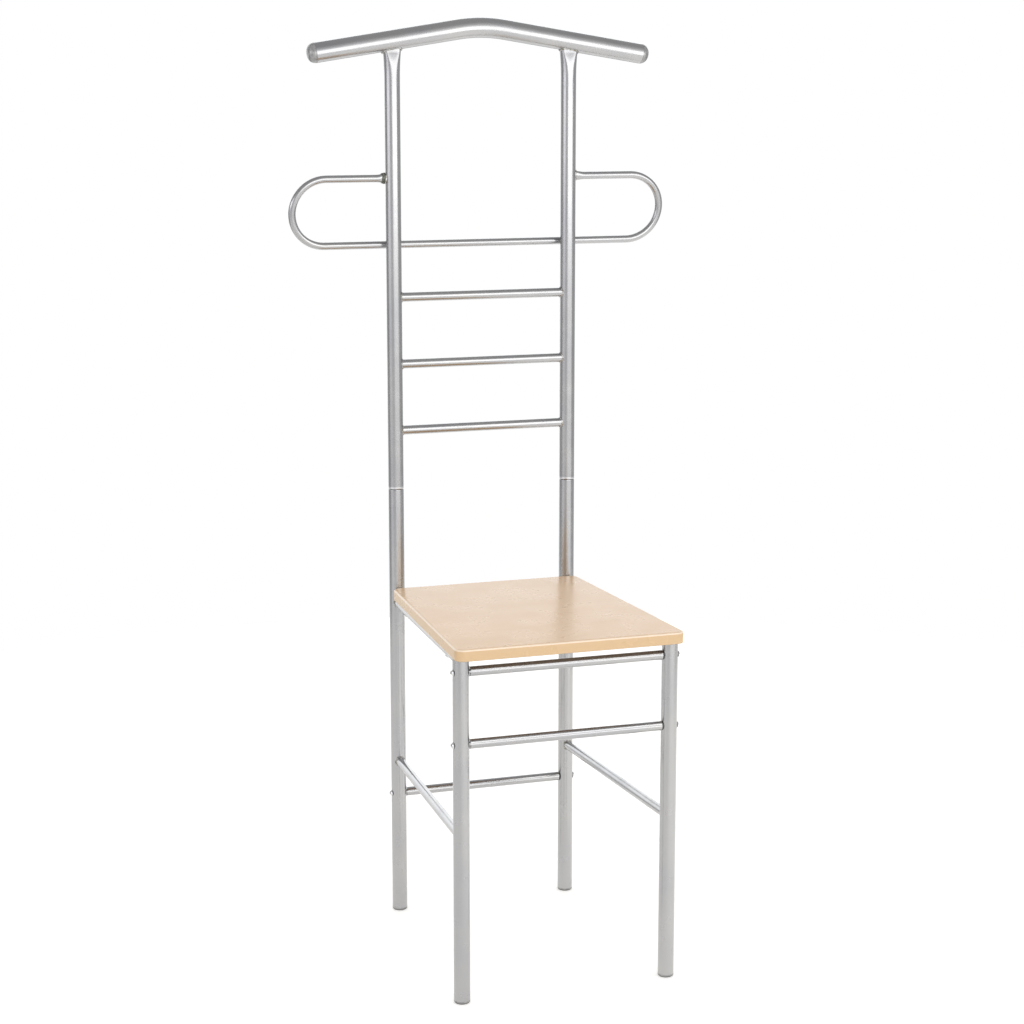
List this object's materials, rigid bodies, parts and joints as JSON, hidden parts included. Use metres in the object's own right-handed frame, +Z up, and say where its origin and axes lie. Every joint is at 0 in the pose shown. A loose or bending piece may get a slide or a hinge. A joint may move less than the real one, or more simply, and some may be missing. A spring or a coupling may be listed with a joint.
{
  "type": "valet stand",
  "caption": "Silver tube valet stand: a small wooden seat on legs, a ladder back, a looped trouser bar and a bent hanger bar on top.",
  "frame": {"origin": "on the floor, under the middle of the stand's outline seen from above", "axes": "+Z is up along the posts, -Y is the front, where the seat reaches out, and +X is to the right seen from the front"},
  "size_m": [0.5576, 0.4095, 1.2953],
  "materials": {
    "silver_lacquer": "gloss",
    "weld_metal": "satin",
    "cap_plastic": "satin",
    "zinc_plate": "satin",
    "beech_laminate": "satin"
  },
  "bodies": {
    "root": {"hanger_bar": "silver_lacquer", "upper_post_left": "silver_lacquer", "upper_post_right": "silver_lacquer", "rung_upper": "silver_lacquer", "rung_middle": "silver_lacquer", "rung_lower": "silver_lacquer", "trouser_bar": "silver_lacquer", "rear_leg_left": "silver_lacquer", "rear_leg_right": "silver_lacquer", "front_leg_left": "silver_lacquer", "front_leg_right": "silver_lacquer", "side_seat_rail_left": "silver_lacquer", "side_seat_rail_right": "silver_lacquer", "side_stretcher_left": "silver_lacquer", "side_stretcher_right": "silver_lacquer", "front_seat_rail": "silver_lacquer", "front_lower_rail": "silver_lacquer", "rear_lower_rail": "silver_lacquer", "hanger_cap_left": "cap_plastic", "hanger_cap_right": "cap_plastic", "foot_cap_rear_left": "cap_plastic", "foot_cap_rear_right": "cap_plastic", "foot_cap_front_left": "cap_plastic", "foot_cap_front_right": "cap_plastic", "leg_plug_left": "cap_plastic", "leg_plug_right": "cap_plastic", "hanger_welds": "weld_metal", "rung_welds": "weld_metal", "trouser_bar_welds": "weld_metal", "side_frame_welds": "weld_metal", "rail_inserts": "zinc_plate", "rail_bolts": "zinc_plate", "seat_screws": "zinc_plate", "seat_board": "beech_laminate"}
  },
  "joints": []
}
